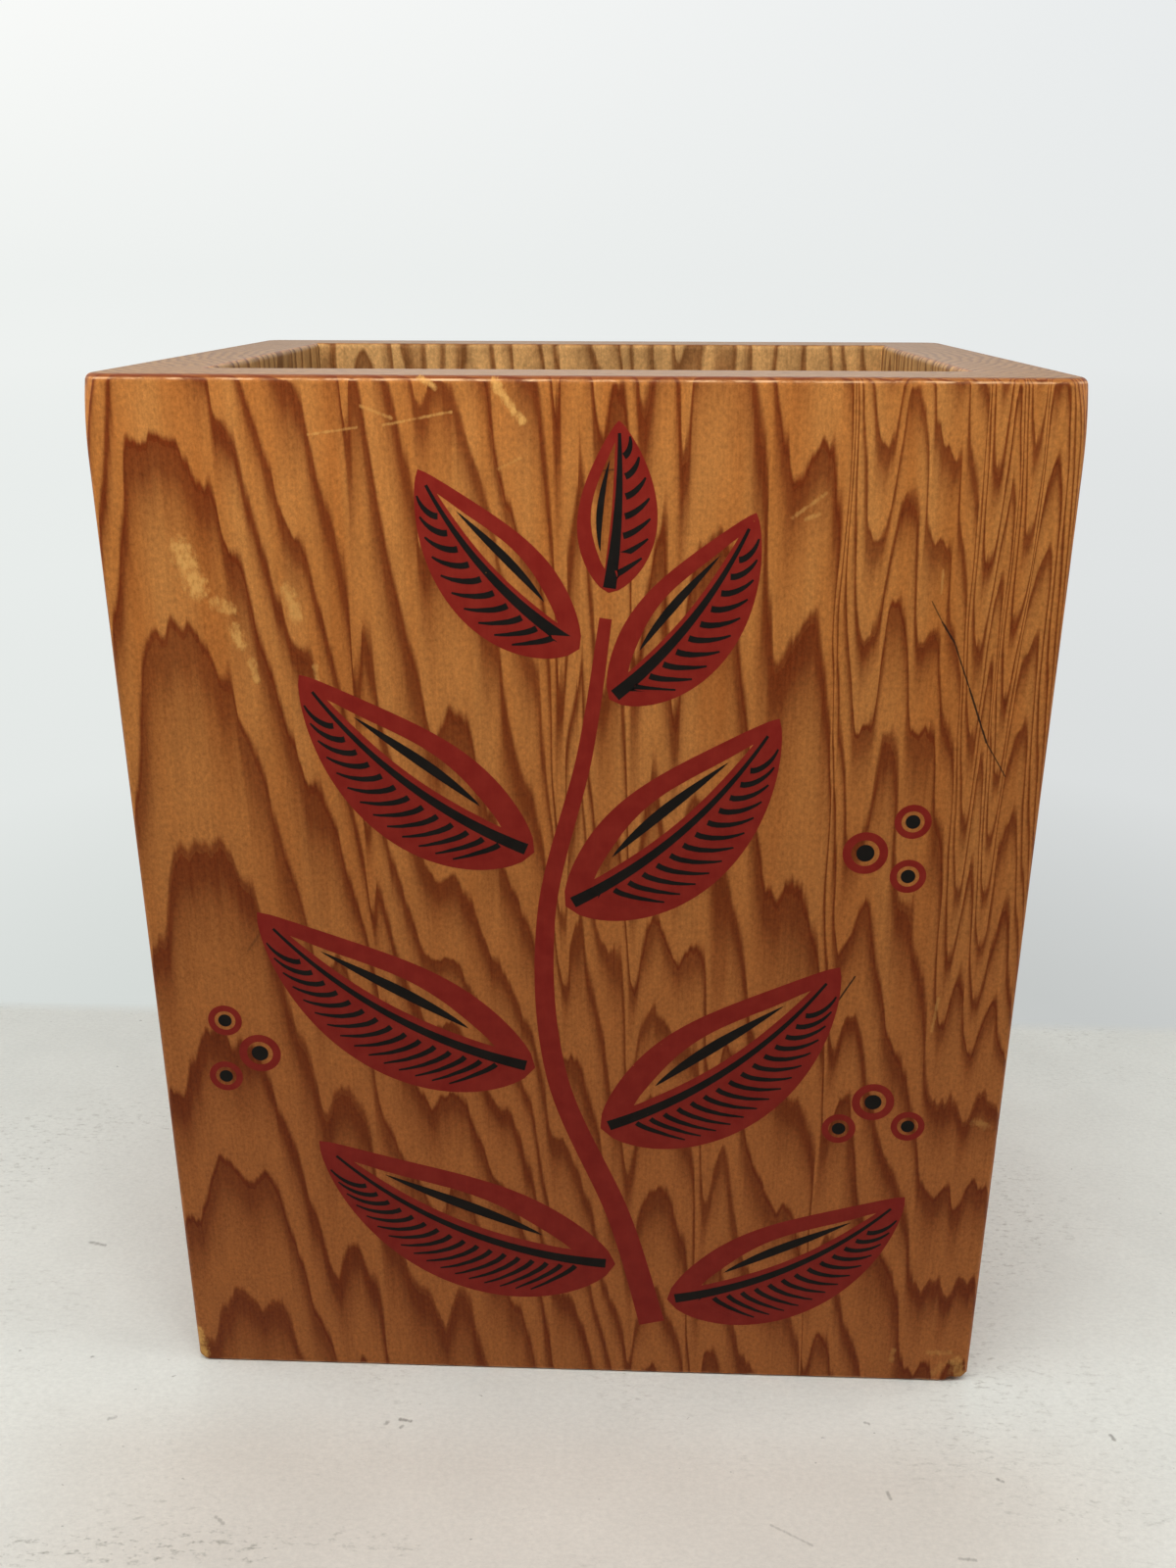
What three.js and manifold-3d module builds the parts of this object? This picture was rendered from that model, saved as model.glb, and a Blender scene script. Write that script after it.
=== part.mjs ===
// Open cedar box: four upright boards mitred at the corners, round a bottom let into a rabbet.
// Millimetres, +Z up. The origin is the middle of the face that the box stands on, and the front is -Y.

import * as THREE from 'three';
import { mergeVertices, toCreasedNormals } from 'three/addons/utils/BufferGeometryUtils.js';
import Module from 'manifold-3d';

const wasm = await Module();
wasm.setup();

// Driving dimensions
const BOX_WIDTH = 184.15; // 7 1/4 in across the front
const BOX_DEPTH = 136.525; // 5 3/8 in from front to back
const BOX_HEIGHT = 228.6; // 9 in
const WALL_THICKNESS = 18.25; // a 3/4 in board after planing and sanding
const BOTTOM_THICKNESS = 12.7; // 1/2 in
const RABBET_REACH = 9; // how far the bottom is let into each wall
const GLUE_LINE = 0.3; // between glued faces

// Sanded edges
const UPRIGHT_EDGE_RADIUS = 1.4; // outer upright edges
const RIM_EDGE_RADIUS = 1.5; // outer edge of the rim
const MOUTH_EDGE_RADIUS = 1.2; // inner edge of the rim
const RIM_CORNER_RADIUS = 4.8; // outer corners of the rim, seen from above
const RIM_CORNER_FADE = 14; // how far down the corners the extra sanding reaches
const FOOT_EDGE_RADIUS = 0.6; // outer edge under the walls

// Fineness of the round stretches
const CORNER_STEPS = 8;
const FADE_STEPS = 6;
const EDGE_STEPS = 5;

const CUT_OVERRUN = 5; // how far a cutting shape runs past what it cuts
const CREASE_ANGLE = THREE.MathUtils.degToRad(30);

// Outlines, seen from above and running anticlockwise
function rectangleOutline(length, breadth) {
  const x = length / 2;
  const y = breadth / 2;
  return [[x, -y], [x, y], [-x, y], [-x, -y]];
}

function roundedOutline(length, breadth, radius) {
  const centres = rectangleOutline(length - 2 * radius, breadth - 2 * radius);
  const points = [];
  centres.forEach(([x, y], corner) => {
    for (let step = 0; step <= CORNER_STEPS; step += 1) {
      const angle = ((corner - 1 + step / CORNER_STEPS) * Math.PI) / 2;
      points.push([x + radius * Math.cos(angle), y + radius * Math.sin(angle)]);
    }
  });
  return points;
}

// An eased edge from its face to its top: how far in from the face, and how far below the top
function quarterRound(radius) {
  return Array.from({ length: EDGE_STEPS + 1 }, (_, step) => {
    const angle = ((step / EDGE_STEPS) * Math.PI) / 2;
    return { inset: radius * (1 - Math.cos(angle)), drop: radius * (1 - Math.sin(angle)) };
  });
}

// A closed solid through outlines of equal point count, from the lowest to the highest
function loft(sections) {
  const count = sections[0].outline.length;
  const positions = [];
  const faces = [];
  sections.forEach(({ z, outline }) => {
    outline.forEach(([x, y]) => positions.push(x, y, z));
  });
  for (let level = 0; level < sections.length - 1; level += 1) {
    for (let i = 0; i < count; i += 1) {
      const here = level * count + i;
      const next = level * count + ((i + 1) % count);
      faces.push(here, next, next + count);
      faces.push(here, next + count, here + count);
    }
  }
  const lid = (sections.length - 1) * count;
  for (let i = 1; i < count - 1; i += 1) {
    faces.push(0, i + 1, i);
    faces.push(lid, lid + i, lid + i + 1);
  }
  const geometry = new THREE.BufferGeometry();
  geometry.setAttribute('position', new THREE.Float32BufferAttribute(positions, 3));
  geometry.setIndex(faces);
  return geometry;
}

function blockBetween(length, breadth, low, high) {
  const geometry = new THREE.BoxGeometry(length, breadth, high - low);
  geometry.translate(0, 0, (low + high) / 2);
  return geometry;
}

// Between three.js geometry and the solids that are joined and cut
function toSolid(geometry) {
  const bare = geometry.clone();
  bare.deleteAttribute('normal');
  bare.deleteAttribute('uv');
  const merged = mergeVertices(bare);
  const mesh = new wasm.Mesh({
    numProp: 3,
    vertProperties: new Float32Array(merged.attributes.position.array),
    triVerts: new Uint32Array(merged.index.array),
  });
  return new wasm.Manifold(mesh);
}

function toGeometry(solid) {
  const mesh = solid.getMesh();
  const geometry = new THREE.BufferGeometry();
  geometry.setAttribute('position', new THREE.Float32BufferAttribute(mesh.vertProperties, 3));
  geometry.setIndex(new THREE.Uint32BufferAttribute(mesh.triVerts, 1));
  return toCreasedNormals(geometry, CREASE_ANGLE);
}

// The outer form of the whole box, with its edges and rim corners sanded round
function outerForm(length, breadth) {
  const section = (z, inset, cornerRadius) => ({
    z,
    outline: roundedOutline(length - 2 * inset, breadth - 2 * inset, cornerRadius - inset),
  });
  const foot = quarterRound(FOOT_EDGE_RADIUS).reverse().map(({ inset, drop }) => (
    section(drop, inset, UPRIGHT_EDGE_RADIUS)
  ));
  const fade = [];
  for (let step = 0; step <= FADE_STEPS; step += 1) {
    const share = step / FADE_STEPS;
    const z = BOX_HEIGHT - RIM_EDGE_RADIUS - RIM_CORNER_FADE * (1 - share);
    const extra = (RIM_CORNER_RADIUS - UPRIGHT_EDGE_RADIUS) * share * share;
    fade.push(section(z, 0, UPRIGHT_EDGE_RADIUS + extra));
  }
  const rim = quarterRound(RIM_EDGE_RADIUS).slice(1).map(({ inset, drop }) => (
    section(BOX_HEIGHT - drop, inset, RIM_CORNER_RADIUS)
  ));
  return loft([...foot, ...fade, ...rim]);
}

// The space inside the walls, which widens at the mouth where the inner edge is eased
function innerSpace(length, breadth) {
  const section = (z, outset) => ({
    z,
    outline: rectangleOutline(length + 2 * outset, breadth + 2 * outset),
  });
  const mouth = quarterRound(MOUTH_EDGE_RADIUS).map(({ inset, drop }) => (
    section(BOX_HEIGHT - drop, inset)
  ));
  const above = section(BOX_HEIGHT + CUT_OVERRUN, MOUTH_EDGE_RADIUS);
  return loft([section(-CUT_OVERRUN, 0), ...mouth, above]);
}

// The rabbet under all four walls that takes the bottom board
function rabbetSpace(length, breadth) {
  const reach = 2 * RABBET_REACH;
  return blockBetween(length + reach, breadth + reach, -CUT_OVERRUN, BOTTOM_THICKNESS + GLUE_LINE);
}

// Everything that lies between a wall's two mitres, each set back by half a glue line
function mitreWedge(length, breadth) {
  const setBack = (GLUE_LINE / 2) * Math.SQRT2;
  const front = -breadth / 2;
  const inner = WALL_THICKNESS + CUT_OVERRUN;
  const outerX = length / 2 + CUT_OVERRUN - setBack;
  const innerX = length / 2 - inner - setBack;
  const outline = [
    [-outerX, front - CUT_OVERRUN],
    [outerX, front - CUT_OVERRUN],
    [innerX, front + inner],
    [-innerX, front + inner],
  ];
  return loft([{ z: -CUT_OVERRUN, outline }, { z: BOX_HEIGHT + CUT_OVERRUN, outline }]);
}

// A wall in its own frame: it runs along X, and its outer face looks to -Y
function wallGeometry(length, breadth) {
  const innerLength = length - 2 * WALL_THICKNESS;
  const innerBreadth = breadth - 2 * WALL_THICKNESS;
  const wall = toSolid(outerForm(length, breadth))
    .intersect(toSolid(mitreWedge(length, breadth)))
    .subtract(toSolid(innerSpace(innerLength, innerBreadth)))
    .subtract(toSolid(rabbetSpace(innerLength, innerBreadth)));
  return toGeometry(wall);
}

function bottomGeometry() {
  const narrowing = 2 * (WALL_THICKNESS - RABBET_REACH + GLUE_LINE);
  return blockBetween(BOX_WIDTH - narrowing, BOX_DEPTH - narrowing, 0, BOTTOM_THICKNESS);
}

function cedar(colour) {
  return new THREE.MeshStandardMaterial({ color: colour, roughness: 0.45, metalness: 0 });
}

function board(name, geometry, colour, turn = 0) {
  const mesh = new THREE.Mesh(geometry, cedar(colour));
  mesh.name = name;
  mesh.rotation.z = turn;
  return mesh;
}

const longWall = wallGeometry(BOX_WIDTH, BOX_DEPTH);
const shortWall = wallGeometry(BOX_DEPTH, BOX_WIDTH);

const box = new THREE.Group();
box.add(board('front_board', longWall, 0xb5743a));
box.add(board('back_board', longWall, 0xb07038, Math.PI));
box.add(board('right_board', shortWall, 0xad6c36, Math.PI / 2));
box.add(board('left_board', shortWall, 0xb2713a, -Math.PI / 2));
box.add(board('bottom_board', bottomGeometry(), 0xa97040));

export default box;
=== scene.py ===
import math

import bmesh
import bpy
import numpy as np
from mathutils import Matrix, Vector, noise


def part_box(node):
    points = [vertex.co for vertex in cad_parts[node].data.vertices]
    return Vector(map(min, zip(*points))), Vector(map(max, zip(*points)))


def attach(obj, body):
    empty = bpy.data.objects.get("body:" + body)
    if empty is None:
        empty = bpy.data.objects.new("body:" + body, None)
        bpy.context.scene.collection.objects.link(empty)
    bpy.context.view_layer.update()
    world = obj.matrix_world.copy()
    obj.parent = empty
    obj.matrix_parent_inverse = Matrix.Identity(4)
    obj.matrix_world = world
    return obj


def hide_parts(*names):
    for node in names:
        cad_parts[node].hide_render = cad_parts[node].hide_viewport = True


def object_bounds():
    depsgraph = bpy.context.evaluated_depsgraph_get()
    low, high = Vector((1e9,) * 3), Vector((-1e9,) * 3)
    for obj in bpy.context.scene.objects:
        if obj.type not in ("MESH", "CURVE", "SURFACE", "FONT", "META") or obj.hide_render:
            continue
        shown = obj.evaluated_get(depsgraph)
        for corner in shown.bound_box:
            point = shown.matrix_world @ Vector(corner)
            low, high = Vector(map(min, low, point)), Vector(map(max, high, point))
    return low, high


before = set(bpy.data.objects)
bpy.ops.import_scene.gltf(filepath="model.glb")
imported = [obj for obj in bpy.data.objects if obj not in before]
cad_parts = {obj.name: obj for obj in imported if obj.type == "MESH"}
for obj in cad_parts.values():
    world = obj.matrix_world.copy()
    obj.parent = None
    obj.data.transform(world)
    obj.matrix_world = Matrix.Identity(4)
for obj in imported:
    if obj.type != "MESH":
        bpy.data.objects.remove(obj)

# The CAD model's box, before anything is added
CAD_LOW, CAD_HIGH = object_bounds()

# Sizes in millimetres, from the frame
MM = 0.001
WIDTH = (CAD_HIGH.x - CAD_LOW.x) / MM
DEPTH = (CAD_HIGH.y - CAD_LOW.y) / MM
HEIGHT = CAD_HIGH.z / MM
FRONT_LOW, FRONT_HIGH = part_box("front_board")
WALL = (FRONT_HIGH.y - FRONT_LOW.y) / MM
BOTTOM_LOW, BOTTOM_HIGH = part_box("bottom_board")
BOTTOM_TOP = BOTTOM_HIGH.z / MM
GLUE_LINE = 0.3
RABBET_INSET = (BOTTOM_LOW.x - CAD_LOW.x) / MM - GLUE_LINE

# Sanded edges, as on the CAD model
UPRIGHT_RADIUS = 1.4
RIM_RADIUS = 1.5
MOUTH_RADIUS = 1.2
FOOT_RADIUS = 0.6
RIM_CORNER_RADIUS = 4.8
RIM_CORNER_FADE = 14.0
INNER_CORNER_RADIUS = 0.3  # on the inner faces, where the CAD model's corners are sharp

# The print stands this far out of the wood, so the boards lie that much further in
INK_RELIEF = 0.05
RED_FILM = (0.015, 0.07)  # front and back of the red film, behind the CAD model's front plane
BLACK_FILM = (0.0, 0.08)

# Fineness of the boards' meshes
CORNER_STEPS = 7
ALONG_STEPS = 96
UPRIGHT_STEPS = 104
INSIDE_STEPS = 40
RIM_STEPS = 8
ROUND_STEPS = 6
SHARP_ANGLE = math.radians(38)

# Camera, fitted to the corners of the box in the photograph. Its place is in millimetres.
CAMERA_PLACE = (10.809, -322.467, 245.800)
CAMERA_PITCH = math.radians(20.6171)
CAMERA_YAW = math.radians(2.0528)
CAMERA_ROLL = math.radians(0.1368)
FOCAL_PX = 1383.53
IMAGE_HEIGHT_PX = 1600
SENSOR_MM = 36.0


def linear(red, green, blue):
    """A screen colour, 0 to 255, as a linear one."""
    parts = [c / 255 for c in (red, green, blue)]
    return tuple(c / 12.92 if c <= 0.04045 else ((c + 0.055) / 1.055) ** 2.4 for c in parts)


def smooth(value):
    """0 below 0, 1 above 1, and a soft step between."""
    t = np.clip(value, 0, 1)
    return t * t * (3 - 2 * t)


# Colours of the wood, the finish and the ink
EARLY_WOOD = linear(187, 124, 63)
EARLY_WOOD_WARM = linear(174, 106, 48)
# Early wood near the foot, darker: painted shade where the light falls off down the outer faces
EARLY_WOOD_LOW_SHADE = linear(166, 99, 50)
LATE_WOOD = linear(108, 45, 14)
BARE_WOOD = linear(220, 166, 92)
SCRATCH_DARK = linear(38, 26, 18)
ARRIS_DARK = linear(112, 54, 30)
# Pale arris lines: a painted highlight below the rim, rubbed wear at the foot and the upright arrises
ARRIS_HIGHLIGHT_AND_WEAR = linear(232, 184, 138)
END_EARLY = linear(143, 106, 65)
END_LATE = linear(106, 70, 39)
INSIDE_EARLY = linear(204, 157, 98)
INSIDE_LATE = linear(124, 76, 38)
RED_INK = linear(124, 28, 20)
RED_INK_PALE = linear(134, 37, 27)
BLACK_INK = linear(12, 9, 6)
BLACK_INK_PALE = linear(22, 17, 13)
FLOOR_WHITE = linear(233, 235, 228)
# Painted bounce light: the wood's warm light on the floor in front of the box
FLOOR_WARM_BOUNCE = linear(224, 219, 209)
FLOOR_GRIME = linear(150, 148, 136)
FLOOR_SPECK = linear(96, 92, 80)

# The tones of the wall behind, at its left and at its right: at WALL_SHARES of the way from its
# foot out to the horizon, and high above the horizon. They are darker near its foot, and the darker
# right side, darkest low down, is painted shade and the box's painted shadow
WALL_RANGE = (200.0, 4000.0)  # how far its foot and the horizon lie from the box
WALL_SHARES = (0.0, 0.058, 0.19, 1.0)
WALL_LEFT = (linear(213, 218, 215), linear(228, 232, 230), linear(232, 236, 234), linear(238, 241, 239))
WALL_RIGHT_SHADED = (linear(197, 200, 199), linear(219, 222, 222), linear(224, 227, 227), linear(230, 233, 233))
WALL_LEFT_HIGH = linear(250, 251, 249)
WALL_RIGHT_HIGH_SHADED = linear(232, 235, 236)
WALL_SIDES = (-0.40, 0.37)  # the x of the directions in which its left and right tones lie
WALL_HIGH = 0.17  # the z of the directions in which its high tones lie

# How strongly each surface mirrors: the shader's specular level
BOARD_SPECULAR = 0.08
BOTTOM_SPECULAR = 0.25
INK_SPECULAR = 0.10
FLOOR_SPECULAR = 0.2

# How high the bumps of each surface are, in millimetres
BOARD_BUMP = 0.05
BOTTOM_BUMP = 0.06
INK_BUMP = 0.03
FLOOR_BUMP = 0.1

# Stretches of the values of noise: nearly all of them, their middle and their core
WIDE = (0.2, 0.8)
MIDDLE = (0.3, 0.7)
CORE = (0.35, 0.65)


# Shader nodes

class Nodes:
    """Adds nodes to a node tree. An input is a number, a tuple or another node's output."""

    def __init__(self, tree):
        self.tree = tree

    def add(self, kind, inputs=None, **settings):
        node = self.tree.nodes.new("ShaderNode" + kind)
        for name, value in settings.items():
            setattr(node, name, value)
        for key, value in (inputs or {}).items():
            if isinstance(value, bpy.types.NodeSocket):
                self.tree.links.new(value, node.inputs[key])
            else:
                node.inputs[key].default_value = value
        return node

    def math(self, operation, *values, clamp=False):
        return self.add("Math", dict(enumerate(values)), operation=operation, use_clamp=clamp).outputs[0]

    def plus(self, first, second, clamp=False):
        return self.math("ADD", first, second, clamp=clamp)

    def minus(self, first, second):
        return self.math("SUBTRACT", first, second)

    def times(self, first, second):
        return self.math("MULTIPLY", first, second)

    def larger(self, first, second):
        return self.math("MAXIMUM", first, second)

    def vector(self, operation, *values):
        node = self.add("VectorMath", dict(enumerate(values)), operation=operation)
        return node.outputs["Value" if operation in ("LENGTH", "DOT_PRODUCT") else "Vector"]

    def scaled(self, vector, factor):
        return self.add("VectorMath", {"Vector": vector, "Scale": factor}, operation="SCALE").outputs[0]

    def combine(self, x, y, z):
        return self.add("CombineXYZ", {0: x, 1: y, 2: z}).outputs[0]

    def separate(self, vector):
        return self.add("SeparateXYZ", {0: vector}).outputs

    def position(self):
        """The place on the object, in millimetres."""
        return self.scaled(self.add("TexCoord").outputs["Object"], 1 / MM)

    def remap(self, value, low, high, to_low=0.0, to_high=1.0, soft=False):
        kind = "SMOOTHSTEP" if soft else "LINEAR"
        inputs = {0: value, 1: low, 2: high, 3: to_low, 4: to_high}
        return self.add("MapRange", inputs, interpolation_type=kind).outputs[0]

    def noise(self, vector, scale=1.0, detail=2.0, roughness=0.5):
        """Noise, 0 to 1. A tuple as scale has one for each axis."""
        if isinstance(scale, tuple):
            vector, scale = self.vector("MULTIPLY", vector, scale), 1.0
        inputs = {"Vector": vector, "Scale": scale, "Detail": detail, "Roughness": roughness}
        return self.add("TexNoise", inputs).outputs[0]

    def blend(self, factor, first, second):
        """From the first number to the second."""
        return self.add("Mix", {0: factor, 2: first, 3: second}, data_type="FLOAT").outputs[0]

    def mix(self, factor, first, second):
        """From the first colour to the second."""
        inputs = {0: factor, 6: self.rgba(first), 7: self.rgba(second)}
        return self.add("Mix", inputs, data_type="RGBA").outputs[2]

    def rgba(self, colour):
        return (*colour, 1.0) if isinstance(colour, tuple) else colour

    def curve(self, value, points, handles="AUTO_CLAMPED"):
        """A smooth curve through points, read at value and held level past its ends."""
        xs, ys = zip(*points)
        x0, x1, y0, y1 = min(xs), max(xs), min(ys), max(ys)
        node = self.add("FloatCurve", {"Value": self.remap(value, x0, x1)})
        line = node.mapping.curves[0].points
        while len(line) < len(points):
            line.new(0.5, 0.5)
        for place, (x, y) in zip(line, sorted(points)):
            place.location = ((x - x0) / (x1 - x0), (y - y0) / (y1 - y0))
            place.handle_type = handles
        node.mapping.update()
        return self.remap(node.outputs[0], 0.0, 1.0, y0, y1)

    def ramp(self, value, places, colours):
        """The colours at their places, 0 to 1, and what lies between."""
        node = self.add("ValToRGB", {0: value})
        parts = node.color_ramp.elements
        while len(parts) < len(places):
            parts.new(0.5)
        for part, place, colour in zip(parts, places, colours):
            part.position = place
            part.color = self.rgba(colour)
        return node.outputs[0]

    def level(self, value, stops):
        """A ramp of grey levels."""
        places, levels = zip(*stops)
        return self.ramp(value, places, [(v, v, v) for v in levels])


def new_material(name):
    material = bpy.data.materials.new(name)
    material.use_nodes = True
    material.node_tree.nodes.clear()
    return material, Nodes(material.node_tree)


def surface(n, colour, roughness, specular, height, height_mm, strength=1.0):
    """A shader whose bump is up to height_mm high."""
    bump = n.add("Bump", {"Height": height, "Strength": strength, "Distance": height_mm * MM})
    shader = n.add("BsdfPrincipled", {"Base Color": colour, "Roughness": roughness,
                                      "Specular IOR Level": specular, "Normal": bump.outputs[0]})
    return shader.outputs[0]


# Growth rings. On a board's outer face, ring lines are z = level + lift(u), where u runs along the
# face. All were chosen from the photograph: one set for the upper half of the front board, and
# a calmer one for its lower half. The upper lift is the sum of two curves, one for each side, because
# a single curve node is too coarse for it.
HIGH_LIFT_LEFT = [
    (-92, -40), (-90, -32), (-88, -21), (-84.5, -3.5), (-81, 0), (-76, 0), (-73, -3), (-70, -9),
    (-68, -13), (-67, -20), (-65, -23), (-62, -37), (-59.5, -49), (-56, -63), (-53, -67), (-51, -77),
    (-49, -86), (-47.7, -92), (-44.6, -110), (-43.3, -126), (-42, -112), (-40.8, -117), (-39, -132),
    (-35.8, -149), (-33.3, -164), (-30.8, -178), (-29.6, -184), (-26.4, -180), (-24, -180),
    (-21.5, -187), (-19.6, -194), (-17, -201), (-15.2, -216), (-12, -228), (-8.3, -239), (-7, -249),
    (-5.5, -268), (-3.6, -301), (-2.5, -275), (0.4, -256),
]
HIGH_LIFT_RIGHT = [
    (0.4, -256), (2.3, -281), (4.8, -300), (7.3, -291), (9.2, -304), (9.8, -316), (11.6, -345),
    (15.4, -318), (16.7, -333), (18, -345), (19.6, -356), (21, -335), (24, -321), (28, -323),
    (30.2, -333), (31.5, -345), (33, -356), (34.8, -376), (36.7, -386), (39, -395), (43, -386),
    (45.4, -385), (47.9, -396), (49.2, -405), (49.8, -424), (50.4, -453), (52, -482), (55.5, -499),
    (56.7, -499), (58.5, -485), (60.4, -473), (62.9, -483), (64.2, -495), (66, -499), (69.6, -500),
    (70.5, -512), (74, -525), (74.6, -545), (77.3, -572), (79.3, -540), (81, -572), (83.2, -600),
    (85, -560), (86.7, -552), (89.5, -580), (92, -612),
]
HIGH_LEVELS = [-15, 21, 57.5, 91, 136, 181.5, 218, 242, 264, 294, 344, 382, 409, 430, 468, 520, 570,
               603, 635, 662, 681, 699, *range(716, 1140, 17)]
LOW_LIFT = [
    (-92, -13), (-89, -15), (-87, -13), (-84.5, -6), (-80, 0), (-77, -3), (-71.5, -4), (-69, -8),
    (-67, -20), (-64, -34), (-62, -43), (-60, -48), (-58, -57), (-55.5, -66), (-51.5, -57),
    (-48.5, -63), (-46.5, -73), (-45, -91), (-41, -103), (-35, -116), (-32, -121), (-29, -114),
    (-26, -116), (-24, -126), (-21.5, -136), (-16, -147), (-13.5, -154), (-10.5, -167), (-8, -183),
    (-6, -195), (-3, -199), (-1, -204), (3.5, -220), (7, -240), (9.5, -250), (11.3, -259), (13, -249),
    (15, -240), (18, -238), (21, -246), (25, -262), (27, -290), (28.5, -294), (31.5, -282),
    (34.5, -292), (36, -302), (42, -318), (45, -322), (49, -328), (52, -345), (53, -371), (56.5, -359),
    (60, -372), (63, -386), (67, -400), (69, -403), (73, -416), (76, -432), (78, -437), (82, -435),
    (84.5, -440), (88, -433), (92, -436),
]
LOW_LEVELS = [-15, 21, 57.5, 91, 136, 167, 195, 220, 240, 262, 290, 318, 345, 372, 400, 440, 464, 490,
              514, 535, *range(552, 976, 17)]
LOW_RANGE = (60.0, 165.0)  # between these heights the lower set passes into the upper one
LEVEL_PER_DEPTH = 13.0  # a ring line climbs this much for each millimetre into the board

# The inner faces show the rings as nearly upright bands
INNER_SPACING = 6.5
INNER_LEAN = 0.015  # rings per millimetre of height
INNER_START = 15.0
INNER_SWAY = 1.6  # how far they sway to each side, in rings
INNER_DEPTHS = (WALL * 0.45, WALL * 0.95)  # between these depths the outer rings pass into the bands

# Dark late wood takes this share of a ring, where ring lines lie flat in the face and where they
# run steeply, and is darkest at its upper edge
STEEPNESS = (0.04, 0.26)  # flat and steep, in rings per millimetre along the board
LATE_SHARE = (0.72, 0.50)
LATE_EDGE = (0.06, 0.23)  # how softly its upper edge ends, also as a share of a ring
LATE_TONE = [(0.0, 1.0), (0.22, 0.90), (0.42, 0.50), (0.70, 0.18), (1.0, 0.0)]
RING_TONES = (0.80, 1.0)  # the late wood of the palest and of the darkest ring
# The darker tone near the foot is painted shade, for the light that falls off down the face
LOW_SHADE_HEIGHTS = (200.0, 70.0)  # between these heights early wood passes into its darker tone near the foot

# How far noise moves the ring lines: finely and slowly along the board, and up and down
FINE_SHIFT = 0.8
SLOW_SHIFT = 2.6
FLAME_HEIGHT = 7.0

# How noise changes the tone of the wood, and where it makes fibres as dark as late wood
FIBRE_TONE = (1.06, 0.94)
SPECK_TONE = (0.57, 1.43)
PATCH_TONE = (0.95, 1.05)
INSIDE_PATCH_TONE = (0.82, 1.22)
END_PATCH_TONE = (0.86, 1.12)
BOTTOM_FIBRE_TONE = (1.08, 0.92)
BOTTOM_DUST_TONE = (0.82, 1.06)
DARK_FIBRES = (0.45, 0.75, 0.0, 0.10)
BOTTOM_DARK_FIBRES = (0.45, 0.75, 0.0, 0.16)

# How much of a bump the fibres and the late wood make, and how rough the boards are
FIBRE_RELIEF = 0.6
LATE_RELIEF = 0.5
BOARD_ROUGHNESS = (0.36, 0.50)
BOTTOM_ROUGHNESS = (0.62, 0.50)
BARE_ROUGHNESS = 0.25  # more than the rest, where the lacquer is gone

# Between these depths the looks of the inner face begin, and those of the outer face end
INSIDE_DEPTHS = (WALL - 0.7, WALL - 0.2)
STROKE_DEPTHS = (2.5, 1.5)
EDGE_WEAR_DEPTHS = (2.0, 1.0)
RIM_SHADE_DEPTHS = (2.6, 2.0)

# Scales of the noise along a board, into it and up it
FINE_SCALE = (0.45, 0.45, 0.02)
SLOW_SCALE = (0.05, 0.05, 0.015)
FLAME_SCALE = (0.30, 0.30, 0.012)
INNER_SCALE = (0.06, 0.03, 0.012)
FIBRE_SCALE = (2.2, 2.2, 0.07)
BAND_SCALE = (0.12, 0.12, 0.01)
SPECK_SCALE = (1.3, 1.3, 1.0)
PATCH_SCALE = (0.2, 0.2, 0.13)
END_PATCH_SCALE = (0.25, 0.25, 0.0)
END_SWAY_SCALE = (0.06, 0.12, 0.0)
BROKEN_SCALE = (0.14, 1.0, 0.14)
INK_FIBRE_SCALE = (2.6, 0.0, 0.09)
BOTTOM_FIBRE_SCALE = (0.09, 2.6, 2.6)  # along the box, across it and up


def ring_count(n, place, depth, z, wobble):
    """How many growth rings lie below a point of a board."""
    sides = n.plus(n.curve(place, HIGH_LIFT_LEFT), n.curve(place, HIGH_LIFT_RIGHT))
    high = n.plus(sides, -HIGH_LIFT_RIGHT[0][1])
    low = n.curve(place, LOW_LIFT)
    climb = n.math("MULTIPLY_ADD", depth, LEVEL_PER_DEPTH, n.plus(z, wobble))
    counts = []
    for lift, levels in ((low, LOW_LEVELS), (high, HIGH_LEVELS)):
        steps = [(level, count) for count, level in enumerate(levels)]
        counts.append(n.curve(n.minus(climb, lift), steps, handles="VECTOR"))
    outer = n.blend(n.remap(z, *LOW_RANGE, soft=True), *counts)

    sway = n.noise(n.combine(place, depth, z), INNER_SCALE)
    inner = n.math("MULTIPLY_ADD", place, 1 / INNER_SPACING, INNER_START)
    inner = n.plus(inner, n.times(z, INNER_LEAN))
    inner = n.plus(inner, n.remap(sway, *WIDE, -INNER_SWAY, INNER_SWAY))
    return n.blend(n.remap(depth, *INNER_DEPTHS, soft=True), outer, inner)


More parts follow.
